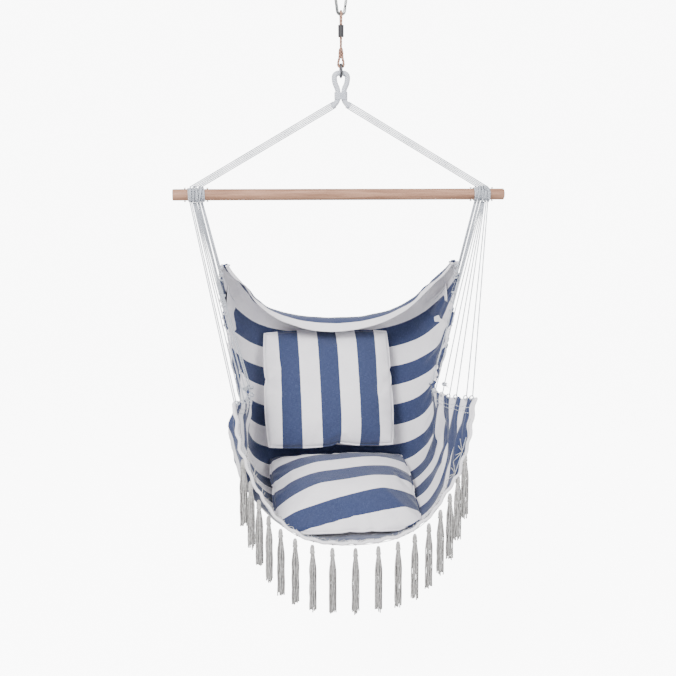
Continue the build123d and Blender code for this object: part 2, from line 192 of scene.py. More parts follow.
def cotton_cord(name, light, dark, pitch):
    """Twisted or braided cord: fine slanting strands with painted shade in the grooves between
    them, and a little soiling.
    """
    s = Shader(name)
    place = s.coordinates()
    strands = s.wave(place, pitch, "DIAGONAL", 1.5)
    fuzz = s.noise(place, 900.0, 4.0)
    soil = s.noise(place, 22.0, 3.0)
    # Painted shade: the dark colour fills the grooves between the slanting strands.
    strand_tone_with_painted_shade = s.mix(s.ramp(strands, 0.1, 0.9), dark, light)
    # A little soiling darkens the cord further, towards the same dark colour.
    s.colour(s.mix(s.math("MULTIPLY", s.ramp(soil, 0.45, 0.75), 0.25), strand_tone_with_painted_shade, dark))
    s.bump(strands, 0.6, 0.0007)
    s.bump(fuzz, 0.4, 0.0005)
    return s.finish(0.85, sheen=0.3)


def yarn(name):
    s = Shader(name)
    place = s.coordinates()
    patches = s.ramp(s.noise(place, 130.0, 3.0), 0.35, 0.7)
    s.colour(s.mix(patches, (0.31, 0.30, 0.29), (0.52, 0.51, 0.50)))
    s.bump(s.wave(place, 260.0, "DIAGONAL", 2.0), 0.7, 0.0006)
    s.bump(s.noise(place, 800.0), 0.4, 0.0004)
    return s.finish(0.95, sheen=0.35)


def light_wood():
    """Sanded beech: grain along the bar, flecks and a few small knots."""
    s = Shader("beech")
    grain = s.noise(s.coordinates((3.0, 60.0, 60.0)), 2.2, 6.0, 0.65)
    flecks = s.noise(s.coordinates((18.0, 400.0, 400.0)), 1.5, 2.0)
    rings = s.wave(s.coordinates((1.2, 16.0, 16.0)), 2.0, "Y", 7.0)
    knots = s.noise(s.coordinates((9.0, 20.0, 20.0)), 1.6, 1.0)
    base = s.mix(s.ramp(grain, 0.3, 0.72), (0.215, 0.100, 0.058), (0.41, 0.225, 0.145))
    ringed = s.mix(s.math("MULTIPLY", rings, 0.22), base, (0.33, 0.175, 0.11))
    fleck_share = s.math("MULTIPLY", s.ramp(flecks, 0.60, 0.72), 0.5)
    knot_share = s.math("MULTIPLY", s.ramp(knots, 0.70, 0.78), 0.65)
    flecked = s.mix(fleck_share, ringed, (0.19, 0.095, 0.058))
    s.colour(s.mix(knot_share, flecked, (0.10, 0.045, 0.027)))
    s.bump(grain, 0.25, 0.0008)
    s.bump(flecks, 0.2, 0.0003)
    return s.finish(s.math("ADD", s.math("MULTIPLY", grain, 0.25), 0.42))


def zinc_steel(name, light, dark, rough):
    s = Shader(name)
    place = s.coordinates()
    smudge = s.noise(place, 60.0, 4.0)
    scratch = s.noise(s.coordinates((2500, 300, 300)), 1.0, 2.0)
    s.colour(s.mix(s.ramp(smudge, 0.3, 0.7), dark, light))
    s.bump(scratch, 0.12, 0.0002)
    return s.finish(s.math("ADD", s.math("MULTIPLY", smudge, 0.22), rough), metallic=1.0)


def black_plastic():
    s = Shader("black_sleeve")
    place = s.coordinates()
    s.colour(s.mix(s.noise(place, 180.0), (0.012, 0.012, 0.014), (0.030, 0.030, 0.034)))
    s.bump(s.noise(place, 1400.0, 2.0), 0.25, 0.0003)
    s.bump(s.wave(place, 36.0, "Z", 0.4), 0.2, 0.0006)
    return s.finish(0.62)


# The second colour of each cord is painted shade for the grooves between its strands, and the
# soiling uses it too.
WHITE_CORD = cotton_cord("white_cord", (0.66, 0.685, 0.73), (0.24, 0.26, 0.31), 150.0)
SERVED_CORD = cotton_cord("served_cord", (0.66, 0.68, 0.73), (0.36, 0.38, 0.44), 110.0)
TAN_ROPE = cotton_cord("tan_rope", (0.44, 0.245, 0.17), (0.17, 0.085, 0.058), 70.0)
CLOTH = woven_cotton("striped_cloth", CLOTH_STRIPE, hem=0.012)
CUSHION_CLOTH = woven_cotton("striped_cushion", STRIPE)
PLAIN_CLOTH = woven_cotton("plain_cloth")
YARN = yarn("tassel_yarn")
BEECH = light_wood()
ZINC = zinc_steel("zinc_steel", (0.34, 0.35, 0.35), (0.11, 0.12, 0.12), 0.20)
DARK_STEEL = zinc_steel("dark_steel", (0.13, 0.13, 0.14), (0.05, 0.05, 0.055), 0.35)
SLEEVE_BLACK = black_plastic()


def paint(obj, material):
    obj.data.materials.clear()
    obj.data.materials.append(material)


def paint_node(name, material):
    """A CAD node keeps its mesh and gets a better material."""
    for slot in nodes[name].material_slots:
        slot.material = material


def belongs(obj, body, slot, *replaced):
    """The body that a piece rides on, its material slot, which is not used, and the CAD nodes that
    it stands for.
    """
    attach(obj, body)
    if replaced:
        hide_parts(*replaced)


# ---- meshes and curves
STRAND_SHARE = 0.58         # a strand's radius as a share of its rope's


def mesh_object(name, verts, faces, material):
    mesh = bpy.data.meshes.new(name)
    mesh.from_pydata([tuple(v) for v in verts], [], faces)
    mesh.polygons.foreach_set("use_smooth", [True] * len(mesh.polygons))
    mesh.update()
    obj = bpy.data.objects.new(name, mesh)
    bpy.context.collection.objects.link(obj)
    paint(obj, material)
    return obj


def curve_object(name, points, radius, material):
    """A round cord along one smooth line whose control points are given."""
    curve = bpy.data.curves.new(name, "CURVE")
    curve.dimensions = "3D"
    spline = curve.splines.new("NURBS")
    spline.points.add(len(points) - 1)
    for slot, point in zip(spline.points, points):
        slot.co = (*point, 1.0)
    spline.order_u = 3
    spline.use_endpoint_u = True
    curve.resolution_u = 12
    curve.bevel_depth = radius
    curve.bevel_resolution = 3
    curve.use_fill_caps = True
    obj = bpy.data.objects.new(name, curve)
    bpy.context.collection.objects.link(obj)
    paint(obj, material)
    return obj


def centreline(points):
    """Points along the smooth line that the control points give."""
    guide = curve_object("guide", points, 0.0, WHITE_CORD)
    guide.data.resolution_u = 24
    mesh = bpy.data.meshes.new_from_object(guide)
    line = [v.co.copy() for v in mesh.vertices]
    bpy.data.objects.remove(guide)
    bpy.data.meshes.remove(mesh)
    return line


def length_of(line):
    return sum((b - a).length for a, b in zip(line, line[1:]))


def round_at(one, two, angle):
    """The unit direction at an angle between two square directions."""
    return one * math.cos(angle) + two * math.sin(angle)


def even_points(line, count):
    """The line again, as count points evenly far apart."""
    lengths = [0.0]
    for a, b in zip(line, line[1:]):
        lengths.append(lengths[-1] + (b - a).length)
    result = []
    k = 0
    for i in range(count):
        want = lengths[-1] * i / (count - 1)
        while k < len(lengths) - 2 and lengths[k + 1] < want:
            k += 1
        t = (want - lengths[k]) / max(lengths[k + 1] - lengths[k], 1e-9)
        result.append(line[k].lerp(line[k + 1], t))
    return result


def frames_along(line):
    """A tangent and two square directions at each point, without sudden twists."""
    tangents = []
    for i in range(len(line)):
        tangents.append((line[min(i + 1, len(line) - 1)] - line[max(i - 1, 0)]).normalized())
    first = tangents[0].orthogonal().normalized()
    result = []
    for tangent in tangents:
        first = (first - tangent * first.dot(tangent)).normalized()
        result.append((tangent, first, tangent.cross(first)))
    return result


def ring_faces(rings, sides, base=0):
    """Quads between closed rings of vertices, each ring to the next."""
    faces = []
    for i in range(rings - 1):
        for k in range(sides):
            a = base + i * sides + k
            b = base + i * sides + (k + 1) % sides
            faces.append((a, b, b + sides, a + sides))
    return faces


def tube_parts(line, radii, sides, base):
    """Vertices and faces of a closed tube along a line, with its own radius at each point."""
    verts = []
    for (_, one, two), point, radius in zip(frames_along(line), line, radii):
        for k in range(sides):
            verts.append(point + round_at(one, two, 2 * math.pi * k / sides) * radius)
    faces = ring_faces(len(line), sides, base)
    faces.append(tuple(base + k for k in reversed(range(sides))))
    last = base + (len(line) - 1) * sides
    faces.append(tuple(last + k for k in range(sides)))
    return verts, faces


def tubes_object(name, lines, material, sides=8):
    """Several tubes in one mesh; each entry is (line, radii or one radius)."""
    verts = []
    faces = []
    for line, radii in lines:
        if isinstance(radii, float):
            radii = [radii] * len(line)
        more_verts, more_faces = tube_parts(line, radii, sides, len(verts))
        verts += more_verts
        faces += more_faces
    return mesh_object(name, verts, faces, material)


def strands_object(name, line, radius, strands, pitch, material, sides=8):
    """A laid rope: strands that turn round each other once every pitch."""
    places = frames_along(line)
    tubes = []
    travelled = 0.0
    turns = [0.0]
    for a, b in zip(line, line[1:]):
        travelled += (b - a).length
        turns.append(2 * math.pi * travelled / pitch)
    thick = radius * STRAND_SHARE
    for k in range(strands):
        route = []
        for (_, one, two), point, turn in zip(places, line, turns):
            angle = turn + 2 * math.pi * k / strands
            route.append(point + round_at(one, two, angle) * (radius - thick))
        tubes.append((route, thick))
    return tubes_object(name, tubes, material, sides)


# ---- the cloth's surface
# Rows of v and four points of half a cross-section, measured from the bar's axis, as in CAD,
# but for the flap at v -0.10, which droops further.
FLAP_V = -0.10
CLOTH_STATIONS = [
    (-0.10, (0, 0.160, -0.437), (0.170, 0.160, -0.438),
     (0.300, 0.094, -0.325), (0.352, 0.025, -0.214)),
    (-0.05, (0, 0.215, -0.400), (0.200, 0.214, -0.400),
     (0.290, 0.120, -0.322), (0.354, 0.028, -0.210)),
    (0.00, (0, 0.268, -0.420), (0.258, 0.286, -0.422),
     (0.296, 0.155, -0.335), (0.356, 0.030, -0.216)),
    (0.18, (0, 0.256, -0.540), (0.298, 0.292, -0.548),
     (0.326, 0.130, -0.480), (0.348, 0.048, -0.320)),
    (0.36, (0, 0.200, -0.670), (0.310, 0.212, -0.690),
     (0.304, 0.095, -0.610), (0.325, 0.038, -0.440)),
    (0.50, (0, 0.176, -0.795), (0.320, 0.186, -0.830),
     (0.288, 0.065, -0.740), (0.275, 0.005, -0.565)),
    (0.58, (0, 0.142, -0.892), (0.338, 0.146, -0.926),
     (0.278, 0.008, -0.780), (0.272, -0.045, -0.588)),
    (0.70, (0, -0.025, -0.936), (0.338, -0.035, -0.962),
     (0.268, -0.070, -0.800), (0.292, -0.125, -0.590)),
    (0.85, (0, -0.180, -0.966), (0.330, -0.190, -1.010),
     (0.268, -0.190, -0.800), (0.318, -0.215, -0.578)),
    (1.00, (0, -0.310, -0.965), (0.230, -0.305, -0.968),
     (0.265, -0.300, -0.850), (0.331, -0.300, -0.563)),
]


def between(v, column):
    """A smooth curve through one column of the stations, by cubic Hermite spans."""
    last = len(CLOTH_STATIONS) - 1
    i = 0
    while i < last - 1 and v > CLOTH_STATIONS[i + 1][0]:
        i += 1
    span = (max(i - 1, 0), i, i + 1, min(i + 2, last))
    p = [Vector(CLOTH_STATIONS[k][column]) for k in span]
    w = [CLOTH_STATIONS[k][0] for k in span]
    t = (v - w[1]) / (w[2] - w[1])
    m0 = (p[2] - p[0]) * ((w[2] - w[1]) / (w[2] - w[0]))
    m1 = (p[3] - p[1]) * ((w[2] - w[1]) / (w[3] - w[1]))
    start = p[1] * (2 * t**3 - 3 * t**2 + 1) + m0 * (t**3 - 2 * t**2 + t)
    return start + p[2] * (3 * t**2 - 2 * t**3) + m1 * (t**3 - t**2)


def cloth_corners(v):
    return [between(v, column) for column in (1, 2, 3, 4)]


def cross_point(corners, u):
    """A place on one cross-section, a cubic Bezier curve from the middle to each side edge."""
    t = abs(u)
    weights = ((1 - t) ** 3, 3 * t * (1 - t) ** 2, 3 * t**2 * (1 - t), t**3)
    point = Vector((0, SEAT_SHIFT_Y, BAR_Z))
    for corner, weight in zip(corners, weights):
        point += corner * weight
    if u < 0:
        point.x = -point.x
    return point


def cloth_point(u, v):
    """The cloth's inner face; u runs from the -X edge at -1 to the +X edge at +1."""
    return cross_point(cloth_corners(v), u)


def cloth_normal(u, v):
    """Unit normal of the cloth, pointing away from the sitter."""
    step = 0.01
    along_u = cloth_point(min(u + step, 1), v) - cloth_point(max(u - step, -1), v)
    along_v = cloth_point(u, min(v + step, 1)) - cloth_point(u, max(v - step, FLAP_V))
    return along_u.cross(along_v).normalized()


# ---- cords
# Every cord hangs taut between its two ends, so its middle point lies on the same line.
CORD_ENDS_V = (0.0, 0.07, 0.15, 0.24, 0.52, 0.66, 0.79, 0.90, 0.985)
BETWEEN_CORDS = ((0.5, 0.035), (2.5, 0.195), (4.5, 0.59), (5.5, 0.725))
BAR_CLEARANCE = 0.0235
CORD_STEP_X = 0.0046        # from one cord to the next under the bar
CORD_STEP_Y = 0.0022
EDGE_CLEARANCE = 0.006
EDGE_GAP = 0.0045           # each cord stops this far short of the edge's hem
BUNDLE_START = Vector((0.029, 0.0, -0.352))
BAR_TOP_Z = BAR_Z + BAR_RADIUS + 2 * CORD_RADIUS + 0.0025
UPPER_SPACING = 0.0044      # between the upper cords at the loop
UPPER_STEP_X = 0.0084       # and on the bar
BUNDLE_TUCK = 0.012         # length of the cords that is tucked into the loop's end
CORD_LAY = 0.018            # length of one full turn of the strands
CORD_RING_GAP = 0.003


def seat_cord_ends(side, index, v=None):
    """Both ends of a cord from the bar to the cloth; index may lie between two CAD cords."""
    spread = (SEAT_CORDS - 1) / 2 - index
    x = side * (HITCH_X - spread * CORD_STEP_X)
    start = Vector((x, spread * CORD_STEP_Y, BAR_Z - BAR_CLEARANCE))
    edge = cloth_point(side, CORD_ENDS_V[index] if v is None else v)
    edge += Vector((side * EDGE_CLEARANCE, 0, 0))
    return start, edge + (start - edge).normalized() * EDGE_GAP


def upper_cord_ends(side, index):
    step = index - (UPPER_CORDS - 1) / 2
    angle = math.atan2(BAR_TOP_Z - BUNDLE_START.z, HITCH_X - BUNDLE_START.x)
    start = BUNDLE_START + Vector((-math.sin(angle), 0, math.cos(angle))) * UPPER_SPACING * step
    end = Vector((HITCH_X + step * UPPER_STEP_X, 0, BAR_TOP_Z))
    start -= (end - start).normalized() * BUNDLE_TUCK
    return Vector((side * start.x, 0, start.z)), Vector((side * end.x, 0, end.z))


def taut_cord(name, start, end, body):
    """Three strands laid together, straight from one end to the other."""
    length = (end - start).length
    line = centreline([start, (start + end) / 2, end])
    line = even_points(line, int(length / CORD_RING_GAP) + 2)
    cord = strands_object(name, line, CORD_RADIUS, 3, CORD_LAY, WHITE_CORD, sides=6)
    belongs(cord, body, "white_cord")
    return cord


def make_cords():
    """The upper cords, the cords that the CAD has under the bar, and more between those."""
    for name, side in SIDES:
        first = None
        for index in range(UPPER_CORDS):
            start, end = upper_cord_ends(side, index)
            cord = taut_cord("upper_cord_" + name + "_" + str(index + 1), start, end, "crosspiece")
            first = first or cord
        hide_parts("upper_cords_" + name)
        for index in range(SEAT_CORDS):
            start, end = seat_cord_ends(side, index)
            number = str(index + 1)
            cord = taut_cord("hung_cord_" + name + "_" + number, start, end, "seat")
            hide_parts("seat_cord_" + name + "_" + number)
        for count, (place, v) in enumerate(BETWEEN_CORDS):
            start, end = seat_cord_ends(side, place, v)
            taut_cord("between_cord_" + name + "_" + str(count + 1), start, end, "seat")


make_cords()

FRINGE_DROP = 0.013
FRINGE_CORD_RADIUS = 0.0011
FRINGE_END_U = 0.86


def fringe_point(u, drop=FRINGE_DROP):
    """A point outside the front edge and square to it, on the netting cord as a rule."""
    step = 0.01
    along = cloth_point(u + step, 1) - cloth_point(u - step, 1)
    out = Vector((along.z, 0, -along.x)).normalized()
    return cloth_point(u, 1) + out * drop


def steps(first, last, count):
    return [first + (last - first) * i / (count - 1) for i in range(count)]


def make_fringe_cord():
    route = [fringe_point(u) for u in steps(-FRINGE_END_U, FRINGE_END_U, 30)]
    cord = curve_object("netting_cord", route, FRINGE_CORD_RADIUS, WHITE_CORD)
    belongs(cord, "seat", "white_cord", "fringe_cord")


make_fringe_cord()

# The strop: a doubled upper eye through the carabiner.
ROPE_LAY = 0.024
EYE_ROUTE = [
    (0, -0.0043, -0.150),
    (0, -0.0043, -0.112),
    (0, -0.0090, -0.097),
    (0, -0.0090, -0.0775),
    (0, 0.0090, -0.0775),
    (0, 0.0090, -0.097),
    (0, 0.0043, -0.112),
    (0, 0.0043, -0.150),
]


def make_strop():
    line = even_points(centreline([Vector(p) for p in EYE_ROUTE]), 90)
    eye = strands_object("strop_eye_rope", line, ROPE_RADIUS, 3, ROPE_LAY, TAN_ROPE)
    belongs(eye, "strop", "tan_rope", "strop_eye")


make_strop()

# The lower rope: one line down from the sleeve, round the link and back up into its splice.
ROPE_ROUTE = [
    (0, 0, -0.1495),
    (0, 0, -0.170),
    (0, 0, -0.190),
    (-0.0041, 0, -0.199),
    (-0.0041, 0, -0.211),
    (-0.0080, 0, -0.223),
    (-0.0080, 0, -0.2375),
    (0.0080, 0, -0.2375),
    (0.0080, 0, -0.223),
    (0.0041, 0, -0.211),
    (0.0041, 0, -0.196),
]
SPLICE_TOP_Z = -0.184
SPLICE_LENGTH = 0.028
LOOP_RADIUS = 0.00825
LOOP_ROUTE = [
    (-0.0270, 0, -0.351),
    (-0.0083, 0, -0.341),
    (-0.0083, 0, -0.303),
    (-0.0195, 0, -0.282),
    (-0.0195, 0, -0.25435),
    (0.0195, 0, -0.25435),
    (0.0195, 0, -0.282),
    (0.0083, 0, -0.303),
    (0.0083, 0, -0.341),
    (0.0270, 0, -0.351),
]
SERVING_GAP = 0.0040        # from one turn of the thin cord to the next
SERVING_DEPTH = 0.0007
WHIPPING_TURNS = 7
WHIPPING_TOP_Z = -0.3105
WHIPPING_LENGTH = 0.0205
TURN_STEPS = 28


def make_lower_rope():
    line = even_points(centreline([Vector(p) for p in ROPE_ROUTE]), 110)
    rope = strands_object("strop_lower_rope", line, ROPE_RADIUS, 3, ROPE_LAY, TAN_ROPE)
    belongs(rope, "strop_lower", "tan_rope", "strop_rope")
    splice = make_splice()


def make_splice():
    """The tucked strands above the lower eye: six short turns, crossing both ways."""
    tubes = []
    for k in range(6):
        hand = 1 if k % 2 else -1
        route = []
        for i in range(19):
            t = i / 18
            swell = math.sin(math.pi * min(max(t, 0.04), 0.96)) ** 0.6
            angle = hand * (2.1 * math.pi * t) + k * math.pi / 3
            wide = 0.0030 + 0.0030 * swell
            deep = 0.0028 + 0.0016 * swell
            z = SPLICE_TOP_Z - SPLICE_LENGTH * t
            route.append(Vector((math.cos(angle) * wide, math.sin(angle) * deep, z)))
        tubes.append((route, 0.0019))
    splice = tubes_object("strop_splice", tubes, TAN_ROPE)
    belongs(splice, "strop_lower", "tan_rope")
    return splice


def make_served_loop():
    """The white loop: a thick bundle with one thin cord wound tightly round it."""
    line = centreline([Vector(p) for p in LOOP_ROUTE])
    line = even_points(line, int(length_of(line) / SERVING_GAP) * 5 + 1)
    radii = [LOOP_RADIUS - SERVING_DEPTH * (1 - abs(math.sin(math.pi * i / 5)))
             for i in range(len(line))]
    loop = tubes_object("served_loop", [(line, radii)], SERVED_CORD, sides=20)
    belongs(loop, "crosspiece", "white_cord", "hanging_loop")


def make_whipping():
    """Seven turns of cord bind the two legs of the loop together."""
    reach = LOOP_RADIUS + 0.0016
    last = WHIPPING_TURNS * TURN_STEPS
    route = []
    for i in range(last + 1):
        angle = 2 * math.pi * i / TURN_STEPS
        across = math.cos(angle)
        x = across * reach + math.copysign(LOOP_RADIUS, across) * min(1, abs(across) * 3)
        z = WHIPPING_TOP_Z - WHIPPING_LENGTH * i / last
        route.append(Vector((x, math.sin(angle) * reach, z)))
    whipping = tubes_object("neck_whipping", [(route, 0.0017)], SERVED_CORD)
    belongs(whipping, "crosspiece", "white_cord", "loop_whipping")


make_lower_rope()
make_served_loop()
make_whipping()

# ---- hitches on the bar
HITCH_PITCH = 0.0045
HITCH_RADIUS = BAR_RADIUS + 0.0001 + CORD_RADIUS
HITCH_OVER = HITCH_RADIUS + 2 * CORD_RADIUS


def frayed_end(root, direction, length, count, seed):
    """Loose fibres that fan out from a cut cord."""
    rng = random.Random(seed)
    tubes = []
    for k in range(count):
        lean = Vector((rng.uniform(-1, 1), rng.uniform(-1, 1), rng.uniform(-1, 1))) * 0.55
        aim = (direction + lean).normalized()
        bend = Vector((0, 0, -1)) * rng.uniform(0.1, 0.5)
        far = length * rng.uniform(0.6, 1.0)
        route = [root + aim * far * t + bend * far * t * t for t in steps(0, 1, 7)]
        tubes.append((route, [0.00062 - 0.00030 * i / 6 for i in range(7)]))
    return tubes


def on_bar(x, angle, radius):
    """A place round the bar; the angle starts at its back and climbs over its top."""
    return Vector((x, math.cos(angle) * radius, BAR_Z + math.sin(angle) * radius))


def make_hitches():
    """Close turns round the bar, the cords that cross them, three slanting turns and a fray."""
    for name, side in SIDES:
        route = []
        for i in range(HITCH_TURNS * TURN_STEPS + 1):
            x = side * HITCH_X + (i / TURN_STEPS - HITCH_TURNS / 2) * HITCH_PITCH
            route.append(on_bar(x, 2 * math.pi * i / TURN_STEPS, HITCH_RADIUS))
        tubes = [(route, CORD_RADIUS)]
        for index in range(SEAT_CORDS):
            top = upper_cord_ends(side, min(index // 2, UPPER_CORDS - 1))[1]
            low = seat_cord_ends(side, index)[0]
            front = -1 if index % 2 == 0 else 1
            lift = HITCH_OVER + 0.0003 * (index % 3)
            over = []
            for i in range(25):
                t = i / 24
                blend = t * t * (3 - 2 * t)
                angle = math.pi / 2 - math.pi * t
                over.append(Vector((
                    top.x + (low.x - top.x) * blend,
                    front * math.cos(angle) * lift + low.y * blend,
                    BAR_Z + math.sin(angle) * lift,
                )))
            tubes.append((over, CORD_RADIUS))
        for k in range(3):
            slant = []
            for i in range(33):
                angle = math.radians(-60 + 300 * i / 32)
                x = side * (HITCH_X - 0.012 + 0.009 * k) + 0.010 * math.sin(angle * 0.5 + k)
                y = -math.cos(angle) * (HITCH_OVER + 0.0018)
                slant.append(Vector((x, y, BAR_Z + math.sin(angle) * (HITCH_OVER + 0.0012))))
            tubes.append((slant, CORD_RADIUS * 0.9))
        root = Vector((side * (HITCH_X + 0.004), -HITCH_OVER, BAR_Z + 0.014))
        tubes += frayed_end(root, Vector((side * 0.4, -0.5, 0.5)), 0.016, 9, 40 + side)
        hitch = tubes_object("bar_hitch_wraps_" + name, tubes, WHITE_CORD)
        belongs(hitch, "crosspiece", "white_cord", "bar_hitch_" + name)


make_hitches()

# ---- the cloth
CLOTH_COLUMNS = 176
CLOTH_ROWS = 190
CLOTH_THICKNESS = 0.0016
SIDE_ROLL = 0.0034
LIP_ROLL = 0.0046
HEM_STEPS = 8
HEM_STEP = math.radians(36)
SLOUCH = 0.030              # how far the arm on the -X side bulges outward
EDGE_DRAW = 0.009           # how far the side edge draws in between two cords
STITCH_GAP = 0.0062


def smooth(low, high, value):
    t = min(max((value - low) / (high - low), 0.0), 1.0)
    return t * t * (3 - 2 * t)


def edge_sag(v):
    """How far the side edge draws in between two cords, as a share of the most."""
    stops = (FLAP_V,) + CORD_ENDS_V + (1.0,)
    for a, b in zip(stops, stops[1:]):
        if a <= v <= b:
            f = (v - a) / (b - a)
            return 4 * f * (1 - f) * min(1.0, (b - a) / 0.12)
    return 0.0


def cloth_grid(us, vs):
    """Rows of points on the cloth's smooth inner face."""
    rows = []
    for v in vs:
        corners = cloth_corners(v)
        rows.append([cross_point(corners, u) for u in us])
    return rows


def grid_normals(rows):
    last_i, last_j = len(rows) - 1, len(rows[0]) - 1
    normals = []
    for i, row in enumerate(rows):
        before, after = rows[max(i - 1, 0)], rows[min(i + 1, last_i)]
        line = []
        for j in range(last_j + 1):
            along_u = row[min(j + 1, last_j)] - row[max(j - 1, 0)]
            line.append(along_u.cross(after[j] - before[j]).normalized())
        normals.append(line)
    return normals


def wrinkle(u, v, across, along):
    """How far a point stands off the smooth face, away from the sitter."""
    side = 1 if u > 0 else -1
    edge = smooth(0.74, 1.0, abs(u))
    uneven = 4 * noise.noise(Vector((along * 9, side * 5.0, 0)))
    gather = 0.0028 * edge * edge * math.sin(2 * math.pi * along / 0.021 + uneven)
    arm = smooth(0.42, 0.78, abs(u)) * (1 - 0.5 * edge)
    ray = noise.noise(Vector((across * 1.6, along * 17 + abs(across) * 5, 3.0)))
    ray += 0.5 * noise.noise(Vector((across * 3.5, along * 36 - abs(across) * 9, 8.0)))
    ridge = 1 - abs(noise.noise(Vector((across * 2.0, along * 10 + abs(across) * 6, 12.0))))
    folds = 0.0180 * arm * (0.26 + ray) + 0.0105 * arm * ridge**5
    soft = 0.0030 * (0.5 + noise.noise(Vector((across * 5, along * 6, 1.0))))
    sharp = 0.0022 * (0.5 + noise.noise(Vector((across * 19 + along * 7, along * 17, 6.0))))
    lip = smooth(0.93, 1.0, v) * 0.0022 * math.sin(across * 2 * math.pi / 0.052)
    return gather + folds + soft + sharp + lip + SLOUCH * slouch(u, v)


def slouch(u, v):
    """The arm on the -X side slouches outward behind its front hem, from 0 to 1."""
    high = smooth(0.40, 0.72, -u) * (1 - smooth(0.92, 1.0, -u))
    return high * smooth(0.68, 0.86, v) * (1 - smooth(0.905, 0.995, v))


def shaped_cloth(us, vs):
    """The wrinkled cloth, with each point's distances from the middle and from the lip."""
    rows = cloth_grid(us, vs)
    normals = grid_normals(rows)
    middle = min(range(len(us)), key=lambda j: abs(us[j]))
    along = [0.0] * len(vs)
    for i in reversed(range(len(vs) - 1)):
        along[i] = along[i + 1] + (rows[i][middle] - rows[i + 1][middle]).length
    places = []
    shaped = []
    for i, v in enumerate(vs):
        across = [0.0] * len(us)
        for j in range(middle + 1, len(us)):
            across[j] = across[j - 1] + (rows[i][j] - rows[i][j - 1]).length
        for j in reversed(range(middle)):
            across[j] = across[j + 1] - (rows[i][j] - rows[i][j + 1]).length
        places.append([(a, along[i]) for a in across])
        line = []
        for j, u in enumerate(us):
            toward = 1 if j > middle else -1
            out = (rows[i][j] - rows[i][max(min(j - toward, len(us) - 1), 0)]).normalized()
            point = rows[i][j] + normals[i][j] * wrinkle(u, v, across[j], along[i])
            line.append(point - out * (EDGE_DRAW * edge_sag(v) * smooth(0.80, 1.0, abs(u))))
        shaped.append(line)
    return shaped, places


def curl(edge, inner, normal, radius):
    """Places round a hem that curls away from the sitter, each with its distance past the edge."""
    out = (edge - inner).normalized()
    centre = edge + normal * radius
    angles = [HEM_STEP * step for step in range(1, HEM_STEPS + 1)]
    return [(centre + round_at(-normal, out, angle) * radius, radius * angle) for angle in angles]


def roll_sides(rows, places, radius):
    """Both side edges curl into a hem."""
    for row, marks, normals in zip(rows, places, grid_normals(rows)):
        start = curl(row[0], row[1], normals[0], radius)[::-1]
        end = curl(row[-1], row[-2], normals[-1], radius)
        (first, along), (last, _) = marks[0], marks[-1]
        row[:0] = [point for point, _ in start]
        marks[:0] = [(first - past, along) for _, past in start]
        row += [point for point, _ in end]
        marks += [(last + past, along) for _, past in end]


def roll_lip(rows, places, radius):
    """The front edge curls under into a narrow hem."""
    curls = [curl(*ends, radius) for ends in zip(rows[-1], rows[-2], grid_normals(rows)[-1])]
    across = [a for a, _ in places[-1]]
    for step in range(HEM_STEPS):
        rows.append([hem[step][0] for hem in curls])
        places.append([(a, -hem[step][1]) for a, hem in zip(across, curls)])


def grid_object(name, rows, places, material, thickness):
    """A sheet through rows of points, with its places in metres as the UV map."""
    wide = len(rows[0])
    verts = [p for row in rows for p in row]
    faces = []
    for i in range(len(rows) - 1):
        for j in range(wide - 1):
            a = i * wide + j
            faces.append((a, a + 1, a + wide + 1, a + wide))
    obj = mesh_object(name, verts, faces, material)
    set_uv(obj, [m for row in places for m in row])
    thick = obj.modifiers.new("thickness", "SOLIDIFY")
    thick.thickness = thickness
    thick.offset = 1.0
    return obj


def set_uv(obj, marks):
    layer = obj.data.uv_layers.new(name="UVMap")
    for loop in obj.data.loops:
        layer.data[loop.index].uv = marks[loop.vertex_index]


def on_cloth(rows, i, j):
    """A point between the rows and columns of a shaped sheet."""
    i0 = min(int(i), len(rows) - 2)
    j0 = min(int(j), len(rows[0]) - 2)
    low = rows[i0][j0].lerp(rows[i0][j0 + 1], j - j0)
    high = rows[i0 + 1][j0].lerp(rows[i0 + 1][j0 + 1], j - j0)
    return low.lerp(high, i - i0)


def stitches(rows, route):
    """Threads along a route of (row, column) places, each over three quarters of the gap."""
    line = [on_cloth(rows, i, j) for i, j in route]
    count = int(length_of(line) / STITCH_GAP)
    dense = even_points(line, count * 4 + 1)
    return [(dense[4 * k : 4 * k + 4], [0.0007, 0.0013, 0.0013, 0.0007]) for k in range(count)]


CLOTH_NORMALS = []
CLOTH_TREE = KDTree((CLOTH_COLUMNS + 1) * (CLOTH_ROWS + 1))


def make_cloth():
    """The striped sheet with its hems and its rows of stitches."""
    us = steps(-1, 1, CLOTH_COLUMNS + 1)
    vs = steps(FLAP_V, 1, CLOTH_ROWS + 1)
    rows, places = shaped_cloth(us, vs)
    for row, normals in zip(rows, grid_normals(rows)):
        for point, normal in zip(row, normals):
            CLOTH_TREE.insert(point, len(CLOTH_NORMALS))
            CLOTH_NORMALS.append(normal)
    CLOTH_TREE.balance()
    seams = []
    for column in (2.6, 4.4):
        for at in (column, CLOTH_COLUMNS - column):
            seams += stitches(rows, [(i, at) for i in range(4, CLOTH_ROWS - 2)])
    seams += stitches(rows, [(CLOTH_ROWS - 1.35, j) for j in range(6, CLOTH_COLUMNS - 5)])
    stitching = tubes_object("cloth_stitching", seams, WHITE_CORD, sides=5)
    belongs(stitching, "seat", "striped_cotton")
    roll_lip(rows, places, LIP_ROLL)
    roll_sides(rows, places, SIDE_ROLL)
    cloth = grid_object("hammock_cloth_sheet", rows, places, CLOTH, CLOTH_THICKNESS)
    belongs(cloth, "seat", "striped_cotton", "hammock_cloth")


make_cloth()


